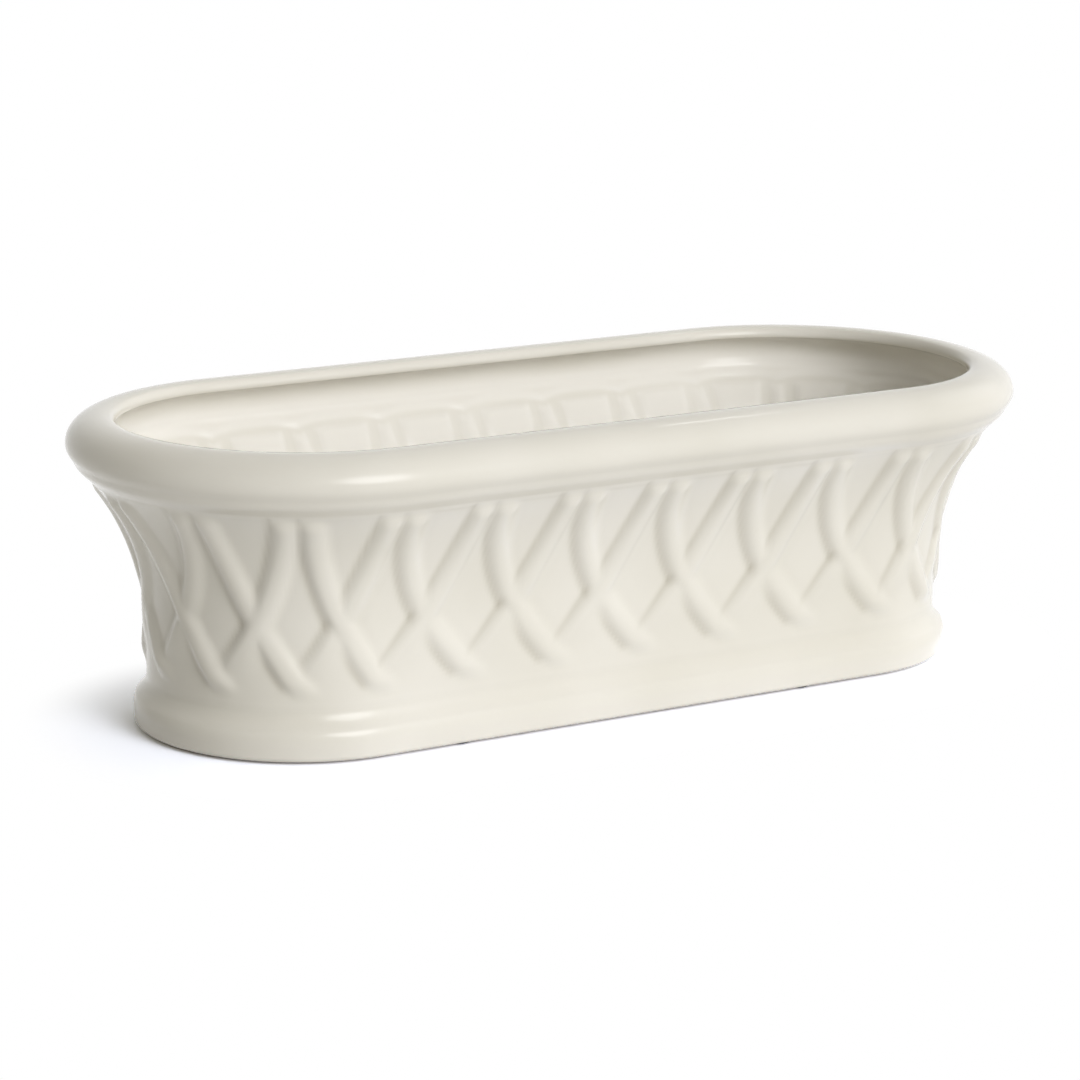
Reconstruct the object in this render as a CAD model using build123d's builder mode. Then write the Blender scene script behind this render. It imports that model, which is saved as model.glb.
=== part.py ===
"""Indoor herb planter: a slip-cast ceramic trough with straight sides, half-round ends, a rolled rim and
a lattice of woven arches in relief, with rubber drain plugs and stick-on foot pads.
Millimetres, +X along the trough, -Y to the front, +Z up, origin under the middle of the base."""

import os
from math import asin, atan2, cos, degrees, pi, sin, sqrt

from build123d import *

# Plan of the casting: half widths are measured from the long centre line
straight_length = 220.0
rim_half_width = 83.5
rim_width = 18.0
waist_half_width = 55.0
foot_projection = 5.0

# Heights above the surface that the planter stands on
overall_height = 114.0
pad_thickness = 1.0
shoulder_height = 8.5
waist_bottom_height = 23.0
waist_top_height = 41.0

# Rim: a round roll, a quirk, a sloping band under it and a step in to the cove
roll_radius = 10.0
roll_underside_drop = 5.5
quirk_depth = 0.7
band_height = 6.0
band_inset = 4.0
ledge_step = 2.0
lip_radius = 3.0
lip_thickness = 5.5
under_lip_drop = 16.0

# Wall, floor and foot
wall = 6.5
floor_thickness = 8.0
floor_corner = 8.0
foot_edge_radius = 2.0
foot_shoulder_radius = 5.5
foot_ring_width = 10.0
foot_recess = 4.0

# Lattice: ribs that leave each apex in pairs, bend outwards and cross the ribs of the next apex
arches_per_half_side = 3
arches_per_quarter_end = 3
rib_width = 10.5
rib_crest_width = 4.0
rib_height = 2.4
rib_root_depth = 2.5
rib_edge_sink = 0.5
rib_dip = 1.5
apex_spread = 9.0
tip_overlap = 2.0
rib_tip_height = 25.0

# Drain holes and their plugs
drain_count = 3
drain_spacing = 75.0
drain_hole_radius = 6.5
plug_clearance = 0.3
plug_taper = 0.6
plug_flange_radius = 11.0
plug_flange_thickness = 2.5
plug_grip_radius = 4.5
plug_grip_height = 3.5
plug_chamfer = 0.8

# Foot pads
pad_radius = 4.0
side_pad_spacing = 150.0

# Places that follow from the sizes above
half_straight = straight_length / 2
lip_half_width = rim_half_width - rim_width
base = pad_thickness
recess_top = base + foot_recess
floor_top = recess_top + floor_thickness
inner_waist = waist_half_width - wall
foot_half_width = waist_half_width + foot_projection
foot_flat = foot_half_width - foot_edge_radius
ring_inner = foot_flat - foot_ring_width
ring_middle = foot_flat - foot_ring_width / 2

# Ogee of the foot: a shoulder turns in from the plinth and a hollow turns up into the waist
ogee_turn = 2 * atan2(foot_projection, waist_bottom_height - shoulder_height)
ogee_join = (
    foot_half_width - foot_shoulder_radius * (1 - cos(ogee_turn)),
    shoulder_height + foot_shoulder_radius * sin(ogee_turn),
)

# Rim outline: the roll stops at the quirk, and the band slopes in below it
roll_middle = (rim_half_width - roll_radius, overall_height - roll_radius)
roll_under_angle = degrees(asin(roll_underside_drop / roll_radius))
roll_end_half_width = roll_middle[0] + sqrt(roll_radius**2 - roll_underside_drop**2)
quirk = (roll_end_half_width - quirk_depth, roll_middle[1] - roll_underside_drop)
band_end = (quirk[0] - band_inset, quirk[1] - band_height)

# Cove of the wall: an arc that leaves the waist upright and ends under the band
cove_top = (band_end[0] - ledge_step, band_end[1])
cove_out = cove_top[0] - waist_half_width
cove_rise = cove_top[1] - waist_top_height
cove_radius = (cove_out**2 + cove_rise**2) / (2 * cove_out)
cove_centre = waist_half_width + cove_radius

# Inner face: the same cove one wall further in, then a slope up to the underside of the lip
under_lip_height = overall_height - under_lip_drop
under_lip_rise = under_lip_height - waist_top_height
under_lip = (cove_centre - sqrt((cove_radius + wall) ** 2 - under_lip_rise**2), under_lip_height)

# Lattice: the place where two ribs cross, and the places where a rib's section is drawn
arch_pitch = half_straight / arches_per_half_side
arch_turn = pi / 2 / arches_per_quarter_end
rib_top_height = cove_top[1] + rib_edge_sink
apex_lead = apex_spread / 2 / arch_pitch
tip_lead = 1 + tip_overlap / arch_pitch
crossing = sqrt((0.5 - apex_lead) / (tip_lead - apex_lead))
tail = 1 - crossing
rib_stations = (0, crossing / 2, crossing * 5 / 6, crossing, crossing + tail / 4, crossing + tail * 5 / 8, 1)


def wall_point(arches, height):
    """Point on the outer wall, counted in arches from the middle of the front, and the way out there."""
    rise = max(height - waist_top_height, 0)
    run = sqrt(cove_radius**2 - rise**2)
    half_width = cove_centre - run
    turn = max(arches - arches_per_half_side, 0) * arch_turn
    along = min(arches, arches_per_half_side) * arch_pitch
    point = Vector(along + half_width * sin(turn), -half_width * cos(turn), height)
    return point, Vector(sin(turn), -cos(turn), -rise / run)


def rib_point(arch, lean, travel):
    """Point on a rib's middle line, a parabola on the wall, with travel 0 at its apex and 1 at its tip."""
    lead = apex_lead + (tip_lead - apex_lead) * travel**2
    height = rib_top_height - (rib_top_height - rib_tip_height) * travel
    return wall_point(arch + lead if lean > 0 else arch + 1 - lead, height)


def rib_plane(arch, lean, travel):
    """Plane across a rib, with its y axis out of the wall."""
    point, outward = rib_point(arch, lean, travel)
    small = 1e-4
    onward = rib_point(arch, lean, travel + small)[0] - rib_point(arch, lean, travel - small)[0]
    return Plane(origin=point, x_dir=outward.cross(onward), z_dir=onward)


def rib_crest(arch, lean, travel):
    """Height of a rib: it dips where it goes under its partner, and fades out at its tip."""
    goes_over = (arch % 2 == 0) == (lean > 0)
    if travel == 1:
        return rib_edge_sink
    if travel == crossing and not goes_over:
        return rib_height - rib_dip
    return rib_height


os.makedirs("parts", exist_ok=True)


# Casting: one quarter is extruded along the side, turned round the end, ribbed, and mirrored twice
section_plane = Plane(origin=(half_straight, 0, 0), x_dir=(0, -1, 0), z_dir=(-1, 0, 0))
end_axis = Axis((half_straight, 0, 0), (0, 0, 1))

with BuildPart() as planter_body:
    with BuildSketch(section_plane) as section:
        with BuildLine():
            # Underside, foot ring and plinth
            Polyline(
                (0, floor_top),
                (0, recess_top),
                (ring_inner, recess_top),
                (ring_inner, base),
                (foot_flat, base),
            )
            CenterArc((foot_flat, base + foot_edge_radius), foot_edge_radius, -90, 90)
            Line((foot_half_width, base + foot_edge_radius), (foot_half_width, shoulder_height))
            # Ogee, waist and cove
            TangentArc((foot_half_width, shoulder_height), ogee_join, tangent=(0, 1))
            TangentArc((waist_half_width, waist_bottom_height), ogee_join, tangent=(0, -1))
            Line((waist_half_width, waist_bottom_height), (waist_half_width, waist_top_height))
            TangentArc((waist_half_width, waist_top_height), cove_top, tangent=(0, 1))
            # Step, band, quirk and roll
            roll = CenterArc(roll_middle, roll_radius, -roll_under_angle, 90 + roll_under_angle)
            Polyline(cove_top, band_end, quirk, roll @ 0)
            # Lip, and the inner wall down to the floor
            Line(roll @ 1, (lip_half_width + lip_radius, overall_height))
            CenterArc((lip_half_width + lip_radius, overall_height - lip_radius), lip_radius, 90, 90)
            Polyline(
                (lip_half_width, overall_height - lip_radius),
                (lip_half_width, overall_height - lip_thickness),
                under_lip,
            )
            TangentArc((inner_waist, waist_top_height), under_lip, tangent=(0, 1))
            Polyline(
                (inner_waist, waist_top_height),
                (inner_waist, floor_top + floor_corner),
                (inner_waist - floor_corner, floor_top),
                (0, floor_top),
            )
        make_face()
    extrude(amount=half_straight)
    revolve(section.sketch, axis=end_axis, revolution_arc=90)
    for arch in range(arches_per_half_side + arches_per_quarter_end):
        for lean in (1, -1):
            for travel in rib_stations:
                crest = rib_crest(arch, lean, travel)
                with BuildSketch(rib_plane(arch, lean, travel)):
                    with BuildLine():
                        Polyline(
                            (-rib_width / 2, -rib_edge_sink),
                            (-rib_crest_width / 2, crest),
                            (rib_crest_width / 2, crest),
                            (rib_width / 2, -rib_edge_sink),
                            (rib_crest_width / 2, -rib_root_depth),
                            (-rib_crest_width / 2, -rib_root_depth),
                            close=True,
                        )
                    make_face()
            loft(ruled=True)
    mirror(about=Plane.XZ)
    mirror(about=Plane.YZ)
    with Locations(Plane.XY.offset(floor_top)):
        with GridLocations(drain_spacing, drain_spacing, drain_count, 1):
            Hole(drain_hole_radius)

planter_body.part.label = "planter_body"
export_step(planter_body.part, "parts/planter_body.step")


# Drain plugs: a tapered stem in the hole, a flange on the floor and a low grip to pull it out
stem_top = drain_hole_radius - plug_clearance
stem_bottom = stem_top - plug_taper
flange_top = floor_top + plug_flange_thickness
grip_top = flange_top + plug_grip_height
plug_row = [(index - (drain_count - 1) / 2) * drain_spacing for index in range(drain_count)]

for number, plug_x in enumerate(plug_row, start=1):
    plug_plane = Plane(origin=(plug_x, 0, 0), x_dir=(1, 0, 0), z_dir=(0, -1, 0))
    with BuildPart() as drain_plug:
        with BuildSketch(plug_plane):
            with BuildLine():
                Polyline(
                    (0, recess_top),
                    (stem_bottom, recess_top),
                    (stem_top, floor_top),
                    (plug_flange_radius, floor_top),
                    (plug_flange_radius, flange_top - plug_chamfer),
                    (plug_flange_radius - plug_chamfer, flange_top),
                    (plug_grip_radius, flange_top),
                    (plug_grip_radius, grip_top - plug_chamfer),
                    (plug_grip_radius - plug_chamfer, grip_top),
                    (0, grip_top),
                    close=True,
                )
            make_face()
        revolve(axis=Axis((plug_x, 0, 0), (0, 0, 1)))
    drain_plug.part.label = f"drain_plug_{number}"
    export_step(drain_plug.part, f"parts/drain_plug_{number}.step")


# Foot pads: thin discs stuck under the foot ring, two along each side and one at each end
pad_places = [
    (-side_pad_spacing / 2, -ring_middle),
    (side_pad_spacing / 2, -ring_middle),
    (half_straight + ring_middle, 0),
    (side_pad_spacing / 2, ring_middle),
    (-side_pad_spacing / 2, ring_middle),
    (-half_straight - ring_middle, 0),
]

for number, (pad_x, pad_y) in enumerate(pad_places, start=1):
    with BuildPart() as foot_pad:
        with BuildSketch(Plane((pad_x, pad_y, 0))):
            Circle(pad_radius)
        extrude(amount=pad_thickness)
    foot_pad.part.label = f"foot_pad_{number}"
    export_step(foot_pad.part, f"parts/foot_pad_{number}.step")
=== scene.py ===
from math import asin, atan2, cos, pi, radians, sin, sqrt

import bpy
import numpy as np
from mathutils import Matrix, Vector


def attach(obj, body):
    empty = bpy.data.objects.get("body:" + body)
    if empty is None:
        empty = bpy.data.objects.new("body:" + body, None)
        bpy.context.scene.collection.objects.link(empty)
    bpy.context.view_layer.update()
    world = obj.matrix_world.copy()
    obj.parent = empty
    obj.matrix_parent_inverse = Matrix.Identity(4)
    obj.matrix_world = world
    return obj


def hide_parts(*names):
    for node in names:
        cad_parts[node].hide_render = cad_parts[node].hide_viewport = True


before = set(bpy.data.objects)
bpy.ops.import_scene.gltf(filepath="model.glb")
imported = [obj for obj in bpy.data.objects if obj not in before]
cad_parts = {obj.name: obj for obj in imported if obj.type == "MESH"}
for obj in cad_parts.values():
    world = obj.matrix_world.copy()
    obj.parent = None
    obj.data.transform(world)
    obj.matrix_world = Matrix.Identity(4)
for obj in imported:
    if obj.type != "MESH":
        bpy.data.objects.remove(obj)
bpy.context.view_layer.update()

# Planter body: one hollow casting of white earthenware, with its rim, lattice, foot and floor in one piece.
# The section of the wall is drawn once, spun round both ends and drawn along both sides. The lattice is then
# raised on the outside and pressed more softly into the inside, as slip does when it follows a plaster mould.
MM = 0.001
HALF_STRAIGHT = 110.0
END_STEPS = 140
SIDE_STEPS = 160

# Lengths are in mm. A pair is a half width, from the long centre line, and a height above the sill.
FOOT_BOTTOM = 1.0
RECESS_TOP = 5.0
FLOOR_TOP = 13.0
FOOT_RING_INNER = 48.0
FOOT_RING_CHAMFER = 1.2
FOOT_HALF_WIDTH = 60.0
FOOT_EDGE_RADIUS = 2.0
FOOT_EDGE_LEAD = 0.5
SHOULDER_HEIGHT = 9.5
SHOULDER_RADIUS = 4.2
PLINTH_BEAD_OUT = 0.3
PLINTH_BEAD_DROP = 0.6
WAIST_HALF_WIDTH = 55.0
WAIST_BOTTOM = 21.0
WAIST_TOP = 41.0
COVE_TOP = (75.15, 92.5)
BAND_BOTTOM = (77.6, 93.6)
BAND_LOWER_EDGE = ((-2.0, -1.0), (-1.0, -0.4), (-0.2, 0.3), (0.5, 1.2))
BAND_TOP = (81.2, 99.0)
BAND_UPPER_EDGE = ((0.3, 0.45), (0.75, 0.8))
BAND_BULGE = 0.6
BAND_SOFTENINGS = 2
SOFT_BEYOND = 74.65
SOFT_BELOW = 102.0
QUIRK_STEP = 0.1
ROLL_CENTRE = (70.2, 104.0)
ROLL_OUT = 13.3
ROLL_UP = 10.0
LIP_HALF_WIDTH = 65.5
LIP_RADIUS = 3.2
LIP_DROP = 0.1
LIP_EDGE_OUT = 0.05
LIP_EDGE_DROP = 0.55
LIP_UNDERSIDE = (65.9, 109.7)
HOLLOW_CENTRE = (66.4, 102.6)
HOLLOW_OUT = 5.7
HOLLOW_UP = 7.1
HOLLOW_END = -15
PRESSED_BAND = (71.3, 98.0)
PRESSED_EDGE = ((-0.4, -0.8), (-1.1, -1.6), (-1.8, -2.2))
INNER_TOP = 95.6
INNER_FINE_END = 84.0
WALL = 6.5
FLOOR_CORNER = 8.0
DRAIN_PLACES = (-75.0, 0.0, 75.0)
DRAIN_RADIUS = 6.5
DRAIN_SIDES = 48
TOUCH = 0.01
TINY = 1e-6


def arc_points(centre, out, up, start, end, steps):
    """Points on an oval arc, from one angle in degrees to another, without the first."""
    turns = [radians(start + (end - start) * step / steps) for step in range(1, steps + 1)]
    return [(centre[0] + out * cos(turn), centre[1] + up * sin(turn)) for turn in turns]


def line_points(start, end, steps, bulge=0.0):
    """Points from one place to another, without the first, swelled to the outer side in the middle."""
    along = np.subtract(end, start)
    outward = np.array((along[1], -along[0])) / np.hypot(*along)
    shares = [step / steps for step in range(1, steps + 1)]
    return [tuple(start + along * share + outward * bulge * 4 * share * (1 - share)) for share in shares]


def near_points(point, offsets):
    """Points at small offsets, outwards and upwards, from one place."""
    return [(point[0] + out, point[1] + up) for out, up in offsets]


cove_out = COVE_TOP[0] - WAIST_HALF_WIDTH
cove_rise = COVE_TOP[1] - WAIST_TOP
cove_radius = (cove_out**2 + cove_rise**2) / (2 * cove_out)
cove_centre = (WAIST_HALF_WIDTH + cove_radius, WAIST_TOP)
cove_turn = np.degrees(asin(cove_rise / cove_radius))
ogee_turn = 2 * atan2(FOOT_HALF_WIDTH - WAIST_HALF_WIDTH, WAIST_BOTTOM - SHOULDER_HEIGHT)
shoulder_centre = (FOOT_HALF_WIDTH - SHOULDER_RADIUS, SHOULDER_HEIGHT)
hollow_rise = WAIST_BOTTOM - SHOULDER_HEIGHT - SHOULDER_RADIUS * sin(ogee_turn)
hollow_radius = hollow_rise / sin(ogee_turn)
hollow_centre = (WAIST_HALF_WIDTH + hollow_radius, WAIST_BOTTOM)
foot_edge_centre = (FOOT_HALF_WIDTH - FOOT_EDGE_RADIUS, FOOT_BOTTOM + FOOT_EDGE_RADIUS)
plinth_bead = (FOOT_HALF_WIDTH + PLINTH_BEAD_OUT, SHOULDER_HEIGHT - PLINTH_BEAD_DROP)
rim_top = ROLL_CENTRE[1] + ROLL_UP
lip_centre = (LIP_HALF_WIDTH + LIP_RADIUS, rim_top - LIP_RADIUS - LIP_DROP)
lip_edge = (LIP_HALF_WIDTH + LIP_EDGE_OUT, lip_centre[1] - LIP_EDGE_DROP)
inner_waist = WAIST_HALF_WIDTH - WALL
inner_radius = cove_radius + WALL
inner_turn = np.degrees(asin((INNER_TOP - WAIST_TOP) / inner_radius))
fine_turn = np.degrees(asin((INNER_FINE_END - WAIST_TOP) / inner_radius))
floor_corner_centre = (inner_waist - FLOOR_CORNER, FLOOR_TOP + FLOOR_CORNER)

section = [(FOOT_RING_INNER, RECESS_TOP), (FOOT_RING_INNER, FOOT_BOTTOM + FOOT_RING_CHAMFER)]
section += [(FOOT_RING_INNER + FOOT_RING_CHAMFER, FOOT_BOTTOM)]
section += line_points(section[-1], (foot_edge_centre[0] - FOOT_EDGE_LEAD, FOOT_BOTTOM), steps=3)
section += arc_points(foot_edge_centre, FOOT_EDGE_RADIUS, FOOT_EDGE_RADIUS, -90, 0, steps=6)
section += line_points(section[-1], plinth_bead, steps=3)
section += arc_points(shoulder_centre, SHOULDER_RADIUS, SHOULDER_RADIUS, 0, np.degrees(ogee_turn), steps=4)
section += arc_points(hollow_centre, hollow_radius, hollow_radius, 180 + np.degrees(ogee_turn), 180, steps=6)
section += line_points((WAIST_HALF_WIDTH, WAIST_BOTTOM), (WAIST_HALF_WIDTH, WAIST_TOP), steps=13)
section += arc_points(cove_centre, cove_radius, cove_radius, 180, 180 - cove_turn, steps=40)
section += near_points(BAND_BOTTOM, BAND_LOWER_EDGE)
section += line_points(section[-1], BAND_TOP, steps=5, bulge=BAND_BULGE)
section += near_points(BAND_TOP, BAND_UPPER_EDGE)
roll_start = np.degrees(asin((section[-1][1] + QUIRK_STEP - ROLL_CENTRE[1]) / ROLL_UP))
section += arc_points(ROLL_CENTRE, ROLL_OUT, ROLL_UP, roll_start, 90, steps=16)
section += arc_points(lip_centre, LIP_RADIUS, LIP_RADIUS, 90, 180, steps=5)
section += [lip_edge, LIP_UNDERSIDE]
section += arc_points(HOLLOW_CENTRE, HOLLOW_OUT, HOLLOW_UP, 90, HOLLOW_END, steps=9)
section += line_points(section[-1], PRESSED_BAND, steps=3)
section += near_points(PRESSED_BAND, PRESSED_EDGE)
section += arc_points(cove_centre, inner_radius, inner_radius, 180 - inner_turn, 180 - fine_turn, steps=14)
section += arc_points(cove_centre, inner_radius, inner_radius, 180 - fine_turn, 180, steps=12)
section += line_points(section[-1], (inner_waist, floor_corner_centre[1]), steps=5)
section += arc_points(floor_corner_centre, FLOOR_CORNER, FLOOR_CORNER, 0, -90, steps=4)
section = np.array(section)
band_points = (section[:, 0] > SOFT_BEYOND) & (section[:, 1] < SOFT_BELOW)
for softening in range(BAND_SOFTENINGS):
    between = (np.roll(section, 1, axis=0) + np.roll(section, -1, axis=0)) / 2
    section[band_points] = (section[band_points] + between[band_points]) / 2

bpy.ops.object.select_all(action="DESELECT")
bpy.ops.mesh.primitive_plane_add(size=MM, location=(0, 0, 0))
body = bpy.context.object
body.name = "glazed_planter_body"
bpy.ops.object.mode_set(mode="EDIT")
bpy.ops.mesh.select_mode(type="VERT")
bpy.ops.mesh.select_all(action="SELECT")
bpy.ops.mesh.merge(type="CENTER")
places = [(0, -half_width * MM, height * MM) for half_width, height in section]
bpy.ops.transform.translate(value=places[0])
for start, end in zip(places, places[1:]):
    bpy.ops.mesh.extrude_region_move(TRANSFORM_OT_translate={"value": np.subtract(end, start)})
bpy.ops.object.mode_set(mode="OBJECT")

end_turn = body.modifiers.new("end_turn", "SCREW")
end_turn.axis = "Z"
end_turn.angle = pi
end_turn.steps = END_STEPS
end_turn.render_steps = END_STEPS
bpy.ops.object.modifier_apply(modifier="end_turn")
bpy.ops.object.mode_set(mode="EDIT")
bpy.ops.mesh.select_all(action="SELECT")
bpy.ops.transform.translate(value=(HALF_STRAIGHT * MM, 0, 0))
bpy.ops.object.mode_set(mode="OBJECT")
other_end = body.modifiers.new("other_end", "MIRROR")
other_end.use_mirror_merge = False
bpy.ops.object.modifier_apply(modifier="other_end")
bpy.ops.object.mode_set(mode="EDIT")


def select_edges(mesh_object, wanted):
    """Selects the edges of the mesh in edit mode whose two ends both pass the test."""
    bpy.ops.mesh.select_all(action="DESELECT")
    bpy.ops.object.mode_set(mode="OBJECT")
    mesh = mesh_object.data
    spots = np.zeros(len(mesh.vertices) * 3, np.float32)
    mesh.vertices.foreach_get("co", spots)
    ends = np.zeros(len(mesh.edges) * 2, np.int32)
    mesh.edges.foreach_get("vertices", ends)
    passed = wanted(*(spots.reshape(-1, 3) / MM).T)
    mesh.vertices.foreach_set("select", passed)
    mesh.edges.foreach_set("select", passed[ends].reshape(-1, 2).all(1))
    bpy.ops.object.mode_set(mode="EDIT")
    bpy.ops.mesh.select_mode(type="EDGE")


for front in (True, False):
    select_edges(body, lambda x, y, z: (abs(abs(x) - HALF_STRAIGHT) < TOUCH) & ((y < 0) == front))
    bpy.ops.mesh.bridge_edge_loops(number_cuts=SIDE_STEPS - 1, interpolation="LINEAR")
for level in (FLOOR_TOP, RECESS_TOP):
    for drain_x in DRAIN_PLACES:
        bpy.ops.mesh.primitive_circle_add(
            vertices=DRAIN_SIDES, radius=DRAIN_RADIUS * MM, location=(drain_x * MM, 0, level * MM)
        )
    select_edges(body, lambda x, y, z: abs(z - level) < TOUCH)
    bpy.ops.mesh.fill(use_beauty=True)
for drain_x in DRAIN_PLACES:
    select_edges(body, lambda x, y, z: np.hypot(x - drain_x, y) < DRAIN_RADIUS + TOUCH)
    bpy.ops.mesh.bridge_edge_loops()
bpy.ops.mesh.select_all(action="SELECT")
bpy.ops.mesh.normals_make_consistent(inside=False)
bpy.ops.object.mode_set(mode="OBJECT")

# Lattice: pairs of ribs leave each apex side by side, bend apart and cross the ribs of the next apex, over
# and under by turns. Each is steep on its left and soft on its right; a line of painted shade darkens the foot of
# its steep side. At the foot the tips that run down to the right lie on the broad tails of the ones that run to
# the left.
# A reach is to the left and the right of a rib's middle line. A fade runs from its first value to its second.
ARCHES_PER_HALF_SIDE = 3
ARCHES_PER_QUARTER_END = 3
ARCH_COUNT = 24
LATTICE_BOTTOM = 18.0
RIB_TOP = 92.6
RIB_TIP = 24.5
APEX_OFFSET = 4.7
TIP_OVERLAP = 2.0
RIB_REACH = (5.4, 8.4)
RIB_CREST = 0.9
RIB_HEIGHT = 2.3
RIB_FILLET = 0.5
TOP_FADE = (93.6, 87.6)
TIP_FADES = {1: (1.06, 0.93), -1: (1.04, 0.7)}
CROSSING_DIP = 0.15
CROSSING_RISE = 0.12
CROSSING_LENGTH = 6.0
TAIL_START = (0.04, 0.2)
TAIL_SPREAD = 0.9
# Painted shade: a dark line along the foot of each rib's steep left side, at this offset, width and strength.
RIB_SHADE_OFFSET = 4.6
RIB_SHADE_WIDTH = 1.4
RIB_SHADE_SHARE = 0.3
BAND_MARGIN = 1.5
OUTER_SKIN = 1.0
INNER_SKIN = 3.0
FLOOR_MARGIN = 2.0
GROOVE_REACH = (5.4, 5.4)
GROOVE_FLOOR = 1.4
INSIDE_SHARE = 0.4
PANEL_TOP = 94.2
PANEL_TOP_DROP = 2.0
PANEL_TOP_REACH = (4.4, 0.8)
PANEL_TOP_SHARE = 0.95
PANEL_TOP_FADE = (2.6, -0.4)
arch_pitch = HALF_STRAIGHT / ARCHES_PER_HALF_SIDE
arch_turn = radians(90 / ARCHES_PER_QUARTER_END)
rib_drop = RIB_TOP - RIB_TIP
apex_lead = APEX_OFFSET / arch_pitch
tip_lead = 1 + TIP_OVERLAP / arch_pitch
crossing = sqrt((0.5 - apex_lead) / (tip_lead - apex_lead))


def ease(value, low, high):
    """Runs smoothly from 0 at low to 1 at high."""
    share = np.clip((value - low) / (high - low), 0, 1)
    return share * share * (3 - 2 * share)


def soft_most(first, second, blend):
    """The larger of two heights, with a fillet of about the given size where they meet."""
    overlap = np.clip(0.5 + 0.5 * (first - second) / blend, 0, 1)
    return second * (1 - overlap) + first * overlap + blend * overlap * (1 - overlap)


def lattice_height(arches, heights, pitch, reach, crest):
    """Height in mm of the woven ribs over the wall, at places counted in arches round the wall and in mm up it,
    and how strongly a line of painted shade darkens the foot of each rib's steep side, where no other rib covers
    it."""
    travel = (RIB_TOP - heights) / rib_drop
    reached = np.clip(travel, 0, None)
    lead = apex_lead + (tip_lead - apex_lead) * reached**2
    slope = 2 * (tip_lead - apex_lead) * reached * pitch / rib_drop
    lean_share = 1 / np.sqrt(1 + slope**2)
    from_crossing = (travel - crossing) * rib_drop / lean_share
    near_crossing = np.exp(-((from_crossing / CROSSING_LENGTH) ** 2))
    past_crossing = ease(travel, crossing + TAIL_START[0], crossing + TAIL_START[1])
    top_fade = ease(heights, *TOP_FADE)
    heaped = np.zeros_like(heights)
    rib_shade_parts = []
    for arch in range(-ARCH_COUNT // 2 - 1, ARCH_COUNT // 2 + 1):
        for lean in (1, -1):
            middle = arch + lead if lean > 0 else arch + 1 - lead
            across = (arches - middle) * pitch * lean_share
            tail = 1 + TAIL_SPREAD * past_crossing * (lean < 0)
            sides = np.where(across < 0, reach[0], reach[1] * tail)
            bump = ease(np.abs(across), sides, crest)
            if not bump.any():
                continue
            goes_over = (arch % 2 == 0) == (lean > 0)
            along = 1 + (CROSSING_RISE if goes_over else -CROSSING_DIP) * near_crossing
            tip_fade = ease(travel, *TIP_FADES[lean])
            heaped = soft_most(heaped, RIB_HEIGHT * bump * along * tip_fade * top_fade, RIB_FILLET)
            # Painted shade: a line along the foot of this rib's steep left side, darkest where two such lines
            # meet.
            rib_shade_parts.append((bump, tip_fade * np.exp(-(((across + RIB_SHADE_OFFSET) / RIB_SHADE_WIDTH) ** 2))))
    first = np.maximum.reduce([bump for bump, rib_shade_line in rib_shade_parts])
    second = np.maximum.reduce([np.where(bump == first, 0, bump) for bump, rib_shade_line in rib_shade_parts])
    rib_shade_lines = sum(rib_shade_line * (1 - np.where(bump == first, second, first)) for bump, rib_shade_line in rib_shade_parts)
    return heaped, rib_shade_lines


vertex_count = len(body.data.vertices)
place = np.zeros(vertex_count * 3, np.float32)
body.data.vertices.foreach_get("co", place)
place = place.reshape(-1, 3) / MM
side_of_end = np.sign(place[:, 0])
beyond = np.clip(np.abs(place[:, 0]) - HALF_STRAIGHT, 0, None)
half_width = np.hypot(beyond, place[:, 1])
heights = place[:, 2]
outward = np.stack([beyond * side_of_end, place[:, 1]], 1) / np.maximum(half_width, TINY)[:, None]

turned_arches = np.arctan2(beyond, np.abs(place[:, 1])) / arch_turn
quarter = np.minimum(np.abs(place[:, 0]), HALF_STRAIGHT) / arch_pitch + turned_arches
quarter = np.where(place[:, 1] > 0, ARCH_COUNT / 2 - quarter, quarter)
arches = quarter * np.where(side_of_end == 0, 1, side_of_end)
pitch = np.where(beyond > 0, half_width * arch_turn, arch_pitch)

rise = np.clip(heights - WAIST_TOP, 0, cove_rise)
wall_run = np.sqrt(cove_radius**2 - rise**2)
outer_wall = cove_centre[0] - wall_run
on_lattice = (heights > LATTICE_BOTTOM) & (heights < BAND_BOTTOM[1]) & (half_width > outer_wall - OUTER_SKIN)
under_band = np.clip(BAND_BOTTOM[0] - BAND_MARGIN - half_width, 0, 1)
raised_ribs, rib_shade_lines = lattice_height(arches, heights, pitch, RIB_REACH, RIB_CREST)
relief = np.where(on_lattice, raised_ribs * under_band, 0)
# Painted shade lines beside the ribs, on the lattice only.
painted_rib_shade = np.where(on_lattice, rib_shade_lines * under_band, 0)

inner_face = (heights > FLOOR_TOP + FLOOR_MARGIN) & (half_width < outer_wall - INNER_SKIN)
faced_share = np.where(heights > WAIST_TOP, cove_radius / inner_radius, 1)
faced_heights = WAIST_TOP + (heights - WAIST_TOP) * faced_share
pressed = lattice_height(arches, faced_heights, pitch, GROOVE_REACH, GROOVE_FLOOR)[0]
from_panel_middle = np.abs(arches - np.floor(arches) - 0.5)
panel_top = PANEL_TOP - PANEL_TOP_DROP * (2 * from_panel_middle) ** 3
panel_edge = PANEL_TOP_SHARE * RIB_HEIGHT * ease(np.abs(heights - panel_top), *PANEL_TOP_REACH)
panel_fade = ease(heights, panel_top + PANEL_TOP_FADE[0], panel_top + PANEL_TOP_FADE[1])
pressed = soft_most(pressed, panel_edge, RIB_FILLET) * panel_fade
pressed = np.where(inner_face & (heights < PRESSED_BAND[1]), pressed, 0)

steepness = wall_run / cove_radius
raised = relief + INSIDE_SHARE * pressed
place[:, :2] += outward * (raised * steepness)[:, None]
place[:, 2] -= raised * rise / cove_radius
body.data.vertices.foreach_set("co", (place * MM).astype(np.float32).ravel())
body.data.update()
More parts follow.
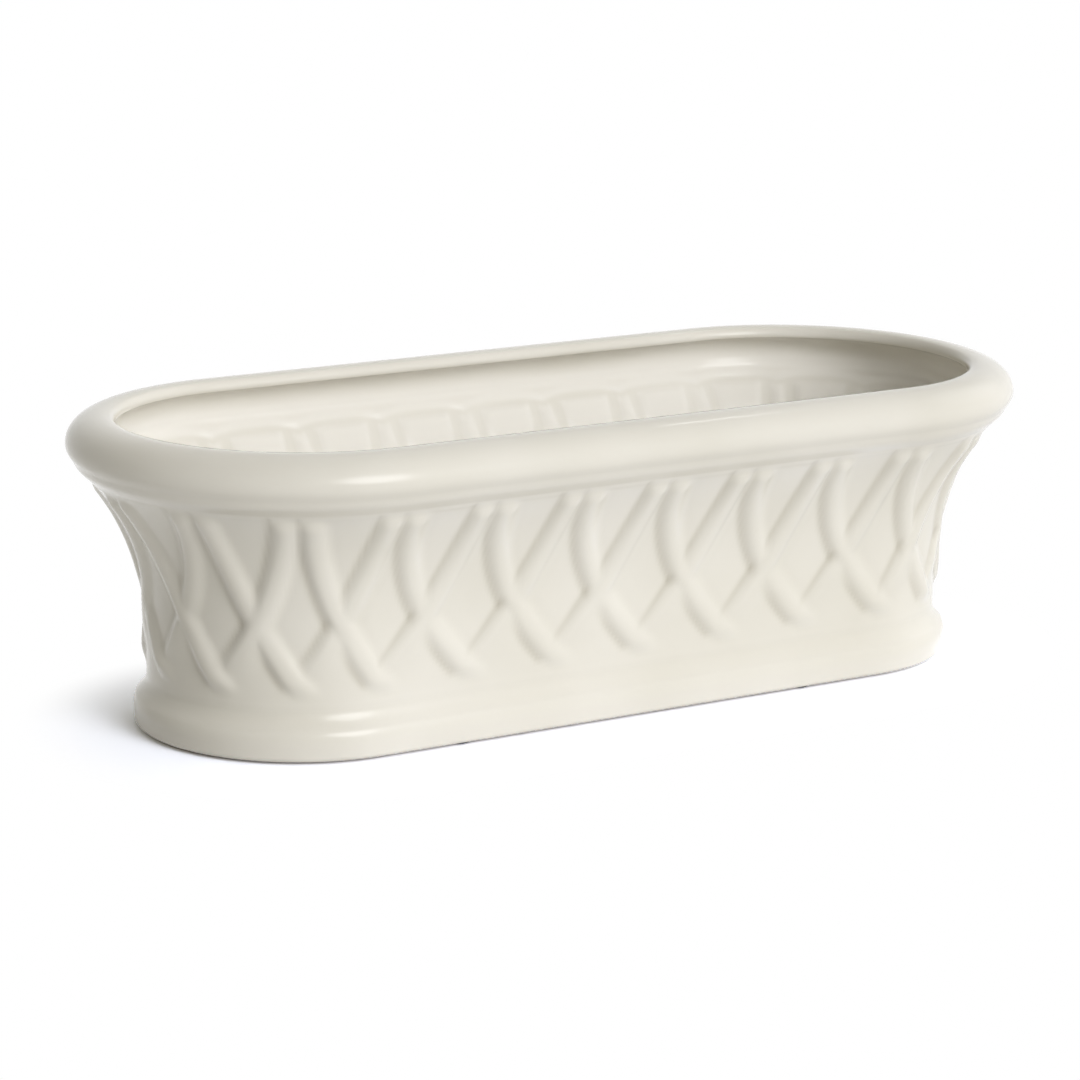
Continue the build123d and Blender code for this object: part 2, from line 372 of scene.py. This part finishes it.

# Depth of the glaze, with painted shade: the colour is lighter low inside the trough and darker up under the lip,
# which is painted shade; it deepens in hollows and grooves, partly as pooled glaze and partly as painted shade.
# Each point of the casting keeps this value, from how hollow the casting is and how deep the grooves are.
HOLLOW_SMOOTHINGS = 3
DEPTH_ON_FLATS = 0.5
# Low inside the trough the colour is lightened, and up under the lip it stays darker: painted shade under the
# overhang.
LIGHTENED_BELOW_LIP = 0.38
# Grooves inside and hollows deepen the colour, partly as pooled glaze and partly as painted shade.
GROOVE_DEPTH_AND_SHADE = 0.15
HOLLOW_DEPTH_AND_SHADE = 0.8
# Heights over which the painted shade under the lip fades out downwards.
LIP_SHADE_FADE = (107.0, 95.0)
edge_ends = np.zeros(len(body.data.edges) * 2, np.int32)
body.data.edges.foreach_get("vertices", edge_ends)
edge_ends = edge_ends.reshape(-1, 2)
normals = np.zeros(vertex_count * 3, np.float32)
body.data.vertex_normals.foreach_get("vector", normals)
normals = normals.reshape(-1, 3)
neighbours = np.maximum(np.bincount(edge_ends.ravel(), minlength=vertex_count), 1)


def neighbour_mean(values):
    """Each point's mean of its neighbours along the edges."""
    total = np.zeros(vertex_count)
    for here, there in ((0, 1), (1, 0)):
        np.add.at(total, edge_ends[:, here], values[edge_ends[:, there]])
    return total / neighbours


step_vectors = place[edge_ends[:, 1]] - place[edge_ends[:, 0]]
step_squares = np.maximum((step_vectors**2).sum(1), TINY)
bend = np.zeros(vertex_count)
for here, sign in ((0, 1), (1, -1)):
    rises = sign * (step_vectors * normals[edge_ends[:, here]]).sum(1) / step_squares
    np.add.at(bend, edge_ends[:, here], rises)
hollowness = bend / neighbours
for smoothing in range(HOLLOW_SMOOTHINGS):
    hollowness = 0.5 * hollowness + 0.5 * neighbour_mean(hollowness)
# Painted shade: lighter low inside the trough, darker up under the lip.
below_lip_lightening = np.where(inner_face, ease(heights, *LIP_SHADE_FADE), 0)
glaze_depth_and_shade = DEPTH_ON_FLATS - LIGHTENED_BELOW_LIP * below_lip_lightening + GROOVE_DEPTH_AND_SHADE * pressed
# Hollows deepen the colour, partly as pooled glaze and partly as painted shade in them.
glaze_depth_and_shade = np.clip(glaze_depth_and_shade + HOLLOW_DEPTH_AND_SHADE * np.maximum(hollowness, 0), 0, 1)
depth_and_shade_attribute = body.data.attributes.new("glaze_depth_and_shade", "FLOAT", "POINT")
depth_and_shade_attribute.data.foreach_set("value", glaze_depth_and_shade.astype(np.float32))
# The painted shade lines beside the ribs, kept on the casting.
rib_shade_attribute = body.data.attributes.new("painted_rib_shade", "FLOAT", "POINT")
rib_shade_attribute.data.foreach_set("value", np.clip(RIB_SHADE_SHARE * painted_rib_shade, 0, 1).astype(np.float32))


def hex_colour(code):
    """An sRGB hex colour as linear red, green and blue with full alpha."""
    parts = [int(code[start:start + 2], 16) / 255 for start in (1, 3, 5)]
    return [part / 12.92 if part <= 0.04045 else ((part + 0.055) / 1.055) ** 2.4 for part in parts] + [1.0]


def add_node(tree, kind, settings=None, inputs=None):
    """Adds a node, sets its properties, and sets or links its inputs."""
    node = tree.nodes.new(kind)
    for name, value in (settings or {}).items():
        setattr(node, name, value)
    for name, value in (inputs or {}).items():
        if isinstance(value, bpy.types.NodeSocket):
            tree.links.new(value, node.inputs[name])
        else:
            node.inputs[name].default_value = value
    return node


def start_material(name):
    """A new material, its node tree, its shader and the place on the piece that its patterns follow."""
    material = bpy.data.materials.new(name)
    material.use_nodes = True
    tree = material.node_tree
    spot = add_node(tree, "ShaderNodeTexCoord").outputs["Object"]
    return material, tree, tree.nodes["Principled BSDF"], spot


# Ivory gloss glaze: a clear, slightly milky glass coat, fired on. It gives a hard wet shine, softens every
# edge and shows a faint slow waviness in what it reflects. Its colour deepens in the hollows, partly as pooled
# glaze and partly as painted shade, and painted shade darkens the foot of each rib's steep side.
GLAZE_THIN = "#ece9e3"
# Deeper colour of pooled glaze and of painted shade in hollows, grooves and under the lip.
GLAZE_DEEP_AND_SHADED = "#d0ccbe"
# Colour of the painted shade line at the foot of each rib's steep side.
RIB_SHADE_COLOUR = "#aaa391"
WAVE_MM = 24.0
PEEL_MM = 2.2
CLOUD_MM = 70.0
CLOUD_SHARE = 0.3
DEEP_RANGE = (0.45, 1.0)
GLAZE_ROUGHNESS = (0.07, 0.12)
glaze, tree, shader, spot = start_material("ivory_gloss_glaze")
# Glaze depth, which also carries painted shade in hollows, grooves and under the lip.
depth = add_node(tree, "ShaderNodeAttribute", {"attribute_name": "glaze_depth_and_shade"}).outputs["Fac"]
cloud = add_node(tree, "ShaderNodeTexNoise", None, {"Vector": spot, "Scale": 1 / (CLOUD_MM * MM), "Detail": 2.0})
clouded = add_node(
    tree,
    "ShaderNodeMath",
    {"operation": "MULTIPLY_ADD", "use_clamp": True},
    {0: cloud.outputs["Fac"], 1: CLOUD_SHARE, 2: depth},
)
shade = add_node(
    tree,
    "ShaderNodeMapRange",
    {"interpolation_type": "SMOOTHSTEP"},
    {"Value": clouded.outputs[0], "From Min": DEEP_RANGE[0], "From Max": DEEP_RANGE[1]},
)
tint = add_node(
    tree,
    "ShaderNodeMix",
    {"data_type": "RGBA"},
    {"Factor": shade.outputs["Result"], "A": hex_colour(GLAZE_THIN), "B": hex_colour(GLAZE_DEEP_AND_SHADED)},
)
# Painted shade: a darker line at the foot of each rib's steep side.
rib_shade_line = add_node(tree, "ShaderNodeAttribute", {"attribute_name": "painted_rib_shade"}).outputs["Fac"]
tint = add_node(
    tree,
    "ShaderNodeMix",
    {"data_type": "RGBA"},
    {"Factor": rib_shade_line, "A": tint.outputs["Result"], "B": hex_colour(RIB_SHADE_COLOUR)},
)
tree.links.new(tint.outputs["Result"], shader.inputs["Base Color"])
shader.inputs["IOR"].default_value = 1.52
shine = add_node(
    tree,
    "ShaderNodeMapRange",
    None,
    {"Value": cloud.outputs["Fac"], "To Min": GLAZE_ROUGHNESS[0], "To Max": GLAZE_ROUGHNESS[1]},
)
tree.links.new(shine.outputs["Result"], shader.inputs["Roughness"])
wave = add_node(tree, "ShaderNodeTexNoise", None, {"Vector": spot, "Scale": 1 / (WAVE_MM * MM), "Detail": 1.0})
peel = add_node(tree, "ShaderNodeTexNoise", None, {"Vector": spot, "Scale": 1 / (PEEL_MM * MM), "Detail": 1.0})
wave_bump = add_node(
    tree, "ShaderNodeBump", None, {"Height": wave.outputs["Fac"], "Distance": 0.5 * MM, "Strength": 0.35}
)
peel_bump = add_node(
    tree,
    "ShaderNodeBump",
    None,
    {"Height": peel.outputs["Fac"], "Distance": 0.01 * MM, "Strength": 0.5, "Normal": wave_bump.outputs["Normal"]},
)
tree.links.new(peel_bump.outputs["Normal"], shader.inputs["Normal"])
body.data.materials.append(glaze)

# Bare earthenware: the foot ring is wiped clean of glaze before firing, so that it doesn't stick to the kiln
# shelf. It is chalky, faintly buff and finely gritty. The grit is drawn coarser than it is, so that it shows.
BISQUE_PALE = "#e9e1d3"
BISQUE_DARK = "#d6cab6"
GRIT_MM = 0.9
WIPED_HEIGHT = 0.3
bisque, tree, shader, spot = start_material("bare_earthenware")
grit = add_node(tree, "ShaderNodeTexNoise", None, {"Vector": spot, "Scale": 1 / (GRIT_MM * MM), "Detail": 4.0})
tint = add_node(
    tree,
    "ShaderNodeMix",
    {"data_type": "RGBA"},
    {"Factor": grit.outputs["Fac"], "A": hex_colour(BISQUE_PALE), "B": hex_colour(BISQUE_DARK)},
)
tree.links.new(tint.outputs["Result"], shader.inputs["Base Color"])
shader.inputs["Roughness"].default_value = 0.85
grit_bump = add_node(
    tree, "ShaderNodeBump", None, {"Height": grit.outputs["Fac"], "Distance": 0.08 * MM, "Strength": 0.6}
)
tree.links.new(grit_bump.outputs["Normal"], shader.inputs["Normal"])
body.data.materials.append(bisque)
for face in body.data.polygons:
    if face.center.z < (FOOT_BOTTOM + WIPED_HEIGHT) * MM:
        face.material_index = 1

bpy.ops.object.select_all(action="DESELECT")
body.select_set(True)
bpy.context.view_layer.objects.active = body
bpy.ops.object.shade_smooth_by_angle(angle=radians(80))
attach(body, "planter")
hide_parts("planter_body")

# Drain plugs: three moulded silicone stoppers, pushed into the drain holes from above by hand. Each has a
# tapered stem, a flange that lies on the floor of the trough and a waisted grip with a dimple in its top.
FLANGE_RADIUS = 11.0
FLANGE_HEIGHT = 2.5
STEM_TOP_RADIUS = 6.2
STEM_TIP_RADIUS = 5.6
GRIP_RADIUS = 4.5
GRIP_WAIST_SHARE = 0.86
GRIP_HEIGHT = 3.5
DIMPLE_RADIUS = 2.6
DIMPLE_DEPTH = 0.5
PLUG_EDGE = 0.5
PLUG_SIDES = 64
LEVEL_NORMAL = 0.9
SILICONE_PALE = "#c6c2b8"
SILICONE_DARK = "#b3afa4"
BLOOM_MM = 6.0
STIPPLE_MM = 0.5

# Moulded silicone: soft, cloudy and nearly matt, with a faint bloom and the stipple of its mould. The stipple
# is drawn coarser than it is, so that it shows.
silicone, tree, shader, spot = start_material("moulded_silicone")
bloom = add_node(tree, "ShaderNodeTexNoise", None, {"Vector": spot, "Scale": 1 / (BLOOM_MM * MM), "Detail": 3.0})
tint = add_node(
    tree,
    "ShaderNodeMix",
    {"data_type": "RGBA"},
    {"Factor": bloom.outputs["Fac"], "A": hex_colour(SILICONE_PALE), "B": hex_colour(SILICONE_DARK)},
)
tree.links.new(tint.outputs["Result"], shader.inputs["Base Color"])
shader.inputs["Roughness"].default_value = 0.55
shader.inputs["IOR"].default_value = 1.41
stipple = add_node(tree, "ShaderNodeTexNoise", None, {"Vector": spot, "Scale": 1 / (STIPPLE_MM * MM)})
stipple_bump = add_node(
    tree, "ShaderNodeBump", None, {"Height": stipple.outputs["Fac"], "Distance": 0.04 * MM, "Strength": 0.5}
)
tree.links.new(stipple_bump.outputs["Normal"], shader.inputs["Normal"])


def select_cap(piece, level):
    """Selects the flat face of a piece in edit mode that lies at the given height."""
    bpy.ops.mesh.select_mode(type="FACE")
    bpy.ops.mesh.select_all(action="DESELECT")
    bpy.ops.object.mode_set(mode="OBJECT")
    for face in piece.data.polygons:
        face.select = abs(face.normal.z) > LEVEL_NORMAL and abs(face.center.z - level * MM) < TOUCH * MM
    bpy.ops.object.mode_set(mode="EDIT")


def shrink_to(radius, old_radius):
    """Scales what is selected about the plug's own axis."""
    share = radius / old_radius
    bpy.ops.transform.resize(value=(share, share, 1), center_override=(0, 0, 0))


def copies_at(piece, name, spots):
    """The piece and copies of it, each with its own mesh and number, moved to the given places in mm."""
    copies = [piece]
    while len(copies) < len(spots):
        twin = piece.copy()
        twin.data = piece.data.copy()
        bpy.context.scene.collection.objects.link(twin)
        copies.append(twin)
    for number, (twin, (spot_x, spot_y)) in enumerate(zip(copies, spots), start=1):
        twin.name = f"{name}_{number}"
        twin.data.transform(Matrix.Translation((spot_x * MM, spot_y * MM, 0)))
    return copies


bpy.ops.object.select_all(action="DESELECT")
bpy.ops.mesh.primitive_cylinder_add(
    vertices=PLUG_SIDES,
    radius=FLANGE_RADIUS * MM,
    depth=FLANGE_HEIGHT * MM,
    location=(0, 0, (FLOOR_TOP + FLANGE_HEIGHT / 2) * MM),
)
plug = bpy.context.object
bpy.ops.object.transform_apply(location=True)
bpy.ops.object.mode_set(mode="EDIT")
select_cap(plug, FLOOR_TOP)
bpy.ops.mesh.inset(thickness=(FLANGE_RADIUS - STEM_TOP_RADIUS) * MM)
bpy.ops.mesh.extrude_region_move(TRANSFORM_OT_translate={"value": (0, 0, (RECESS_TOP - FLOOR_TOP) * MM)})
shrink_to(STEM_TIP_RADIUS, STEM_TOP_RADIUS)
select_cap(plug, FLOOR_TOP + FLANGE_HEIGHT)
bpy.ops.mesh.inset(thickness=(FLANGE_RADIUS - GRIP_RADIUS) * MM)
bpy.ops.mesh.extrude_region_move(TRANSFORM_OT_translate={"value": (0, 0, GRIP_HEIGHT / 2 * MM)})
shrink_to(GRIP_WAIST_SHARE, 1)
bpy.ops.mesh.extrude_region_move(TRANSFORM_OT_translate={"value": (0, 0, GRIP_HEIGHT / 2 * MM)})
shrink_to(1, GRIP_WAIST_SHARE)
bpy.ops.mesh.inset(thickness=(GRIP_RADIUS - DIMPLE_RADIUS) * MM)
bpy.ops.mesh.inset(thickness=DIMPLE_RADIUS / 2 * MM)
bpy.ops.transform.translate(value=(0, 0, -DIMPLE_DEPTH * MM))
bpy.ops.object.mode_set(mode="OBJECT")
plug_edges = plug.modifiers.new("plug_edges", "BEVEL")
plug_edges.width = PLUG_EDGE * MM
plug_edges.segments = 3
plug_edges.limit_method = "ANGLE"
plug_edges.angle_limit = radians(35)
bpy.ops.object.modifier_apply(modifier="plug_edges")
bpy.ops.object.shade_smooth_by_angle(angle=radians(30))
plug.data.materials.append(silicone)

stoppers = copies_at(plug, "silicone_drain_plug", [(drain_x, 0) for drain_x in DRAIN_PLACES])
for number, stopper in enumerate(stoppers, start=1):
    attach(stopper, f"drain_plug_{number}")
    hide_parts(f"drain_plug_{number}")

# Foot pads: six stick-on rubber discs under the bare foot ring, which keep the casting off the sill.
# They are die-cut with a rounded lower edge and a fine moulded stipple.
PAD_RADIUS = 4.0
PAD_SIDES = 40
PAD_EDGE = 0.3
PAD_RING = 53.0
SIDE_PAD_X = 75.0
PAD_DARK = "#2b2a29"
PAD_PALE = "#3b3a38"

# Stippled rubber: nearly black and dull, with the same coarsened stipple.
pad_rubber, tree, shader, spot = start_material("stippled_rubber")
stipple = add_node(tree, "ShaderNodeTexNoise", None, {"Vector": spot, "Scale": 1 / (STIPPLE_MM * MM)})
tint = add_node(
    tree,
    "ShaderNodeMix",
    {"data_type": "RGBA"},
    {"Factor": stipple.outputs["Fac"], "A": hex_colour(PAD_DARK), "B": hex_colour(PAD_PALE)},
)
tree.links.new(tint.outputs["Result"], shader.inputs["Base Color"])
shader.inputs["Roughness"].default_value = 0.7
stipple_bump = add_node(
    tree, "ShaderNodeBump", None, {"Height": stipple.outputs["Fac"], "Distance": 0.06 * MM, "Strength": 0.6}
)
tree.links.new(stipple_bump.outputs["Normal"], shader.inputs["Normal"])

bpy.ops.object.select_all(action="DESELECT")
bpy.ops.mesh.primitive_cylinder_add(
    vertices=PAD_SIDES, radius=PAD_RADIUS * MM, depth=FOOT_BOTTOM * MM, location=(0, 0, FOOT_BOTTOM / 2 * MM)
)
pad = bpy.context.object
bpy.ops.object.transform_apply(location=True)
bpy.ops.object.mode_set(mode="EDIT")
select_cap(pad, 0)
bpy.ops.mesh.bevel(offset=PAD_EDGE * MM, segments=3)
bpy.ops.object.mode_set(mode="OBJECT")
bpy.ops.object.shade_smooth_by_angle(angle=radians(40))
pad.data.materials.append(pad_rubber)

pad_end = HALF_STRAIGHT + PAD_RING
pad_places = [
    (-SIDE_PAD_X, -PAD_RING),
    (SIDE_PAD_X, -PAD_RING),
    (pad_end, 0),
    (SIDE_PAD_X, PAD_RING),
    (-SIDE_PAD_X, PAD_RING),
    (-pad_end, 0),
]
for number, foot_pad in enumerate(copies_at(pad, "rubber_foot_pad", pad_places), start=1):
    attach(foot_pad, "planter")
    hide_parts(f"foot_pad_{number}")

# Floor: a sweep of plain white paper, which keeps the planter's soft shadow and is plain white further out.
# What the camera and the glaze see of it is white, and a little cool where it is in shade; it throws back
# less light than that on to the casting.
FLOOR_SIZE = 8.0
SHADOW_REACH = (0.062, 0.105)
PAPER_WHITE = "#efeff0"
PAPER_SEEN = "#e6eaf8"
PAPER_GAIN = 2.0


def add_watched(tree):
    """Adds the nodes that tell what the camera and mirroring surfaces see from what only gives light."""
    ray = add_node(tree, "ShaderNodeLightPath").outputs
    mirrored = add_node(
        tree,
        "ShaderNodeMath",
        {"operation": "MAXIMUM"},
        {0: ray["Is Glossy Ray"], 1: ray["Is Transmission Ray"]},
    )
    return add_node(
        tree,
        "ShaderNodeMath",
        {"operation": "MAXIMUM"},
        {0: ray["Is Camera Ray"], 1: mirrored.outputs[0]},
    ).outputs[0]


bpy.ops.mesh.primitive_plane_add(size=FLOOR_SIZE, location=(0, 0, 0))
floor = bpy.context.object
floor.name = "floor"
paper = bpy.data.materials.new("white_paper")
paper.use_nodes = True
tree = paper.node_tree
tree.nodes.remove(tree.nodes["Principled BSDF"])
watched = add_watched(tree)
seen_colour = [part * PAPER_GAIN for part in hex_colour(PAPER_SEEN)]
thrown = add_node(
    tree,
    "ShaderNodeMix",
    {"data_type": "RGBA"},
    {"Factor": watched, "A": hex_colour(PAPER_WHITE), "B": seen_colour},
)
matt = add_node(tree, "ShaderNodeBsdfDiffuse", None, {"Color": thrown.outputs["Result"]})
spot = add_node(tree, "ShaderNodeTexCoord").outputs["Object"]
unsigned = add_node(tree, "ShaderNodeVectorMath", {"operation": "ABSOLUTE"}, {0: spot})
past_ends = add_node(
    tree,
    "ShaderNodeVectorMath",
    {"operation": "SUBTRACT"},
    {0: unsigned.outputs["Vector"], 1: (HALF_STRAIGHT * MM, 0, 0)},
)
outside = add_node(tree, "ShaderNodeVectorMath", {"operation": "MAXIMUM"}, {0: past_ends.outputs["Vector"]})
reach = add_node(tree, "ShaderNodeVectorMath", {"operation": "LENGTH"}, {0: outside.outputs["Vector"]})
far_off = add_node(
    tree,
    "ShaderNodeMapRange",
    {"interpolation_type": "SMOOTHSTEP"},
    {"Value": reach.outputs["Value"], "From Min": SHADOW_REACH[0], "From Max": SHADOW_REACH[1]},
)
seen_far = add_node(
    tree, "ShaderNodeMath", {"operation": "MULTIPLY"}, {0: far_off.outputs["Result"], 1: watched}
)
white = add_node(tree, "ShaderNodeEmission")
sweep = add_node(
    tree, "ShaderNodeMixShader", None, {0: seen_far.outputs[0], 1: matt.outputs[0], 2: white.outputs[0]}
)
tree.links.new(sweep.outputs[0], tree.nodes["Material Output"].inputs["Surface"])
floor.data.materials.append(paper)

# Light: a pale room with broad soft glows in it, as of large diffusing screens round the table, and one small
# bright glint, which draws the thin gleam on the rim. The dim side of the room is faintly warm. What the
# camera and the glaze see of the screens is at least white, and no brighter than the gloss limit.
ROOM_LIGHT = 0.17
ROOM_SHADE = "#fff6d2"
ROOM_BRIGHT = "#ffffff"
ROOM_SEEN = 1.0
GLOSS_LIMIT = 4.5
GLOWS = [
    {"towards": (10, 26), "level": 10.9, "spread": 30.0},
    {"towards": (90, 35), "level": 1.25, "spread": 6.0},
    {"towards": (115, 30), "level": 0.5, "spread": 30.0},
    {"towards": (178, 5), "level": 0.7, "spread": 5.0},
]
GLINT = {"towards": (122, 48), "level": 13.0, "spread": 12000.0}


def add_glow(tree, heading, glow, level):
    """Adds one glow of the room to the light level that comes from each direction."""
    turn, height = (radians(angle) for angle in glow["towards"])
    axis = (sin(turn) * cos(height), -cos(turn) * cos(height), sin(height))
    facing = add_node(tree, "ShaderNodeVectorMath", {"operation": "DOT_PRODUCT"}, {0: heading, 1: axis})
    ahead = add_node(tree, "ShaderNodeMath", {"operation": "MAXIMUM"}, {0: facing.outputs["Value"], 1: 0.0})
    lobe = add_node(tree, "ShaderNodeMath", {"operation": "POWER"}, {0: ahead.outputs[0], 1: glow["spread"]})
    return add_node(
        tree, "ShaderNodeMath", {"operation": "MULTIPLY_ADD"}, {0: lobe.outputs[0], 1: glow["level"], 2: level}
    ).outputs[0]


room = bpy.data.worlds.new("pale_room")
bpy.context.scene.world = room
room.use_nodes = True
tree = room.node_tree
air = tree.nodes["Background"]
heading = add_node(tree, "ShaderNodeTexCoord").outputs["Generated"]
level = ROOM_LIGHT
for glow in GLOWS:
    level = add_glow(tree, heading, glow, level)
sheen = add_node(tree, "ShaderNodeMath", {"operation": "MINIMUM"}, {0: level, 1: GLOSS_LIMIT})
shown = add_node(tree, "ShaderNodeMath", {"operation": "MAXIMUM"}, {0: sheen.outputs[0], 1: ROOM_SEEN})
strength = add_node(
    tree, "ShaderNodeMix", None, {"Factor": add_watched(tree), "A": level, "B": shown.outputs[0]}
)
strength = add_glow(tree, heading, GLINT, strength.outputs["Result"])
tree.links.new(strength, air.inputs["Strength"])
warmth = add_node(
    tree,
    "ShaderNodeMix",
    {"data_type": "RGBA"},
    {"Factor": strength, "A": hex_colour(ROOM_SHADE), "B": hex_colour(ROOM_BRIGHT)},
)
tree.links.new(warmth.outputs["Result"], air.inputs["Color"])

# Camera: a long lens a little above the rim and to the left of the front, as in the photograph.
AZIMUTH = radians(-32.74)
ELEVATION = radians(13.30)
ROLL = radians(0.77)
DISTANCE = 1.4623
TARGET = Vector((-0.00878, 0.0, 0.05594))
back = Vector((sin(AZIMUTH) * cos(ELEVATION), -cos(AZIMUTH) * cos(ELEVATION), sin(ELEVATION)))
right = Vector((cos(AZIMUTH), sin(AZIMUTH), 0.0))
up = back.cross(right)
tilted_right = right * cos(ROLL) + up * sin(ROLL)
tilted_up = back.cross(tilted_right)
bpy.ops.object.camera_add()
camera = bpy.context.object
turned = Matrix((tilted_right, tilted_up, back)).transposed()
camera.matrix_world = Matrix.Translation(TARGET + back * DISTANCE) @ turned.to_4x4()
camera.data.lens = 130.26
camera.data.sensor_width = 36.0
camera.data.shift_x = 0.00321
camera.data.shift_y = -0.00169
bpy.context.scene.camera = camera
bpy.context.scene.view_settings.view_transform = "Standard"
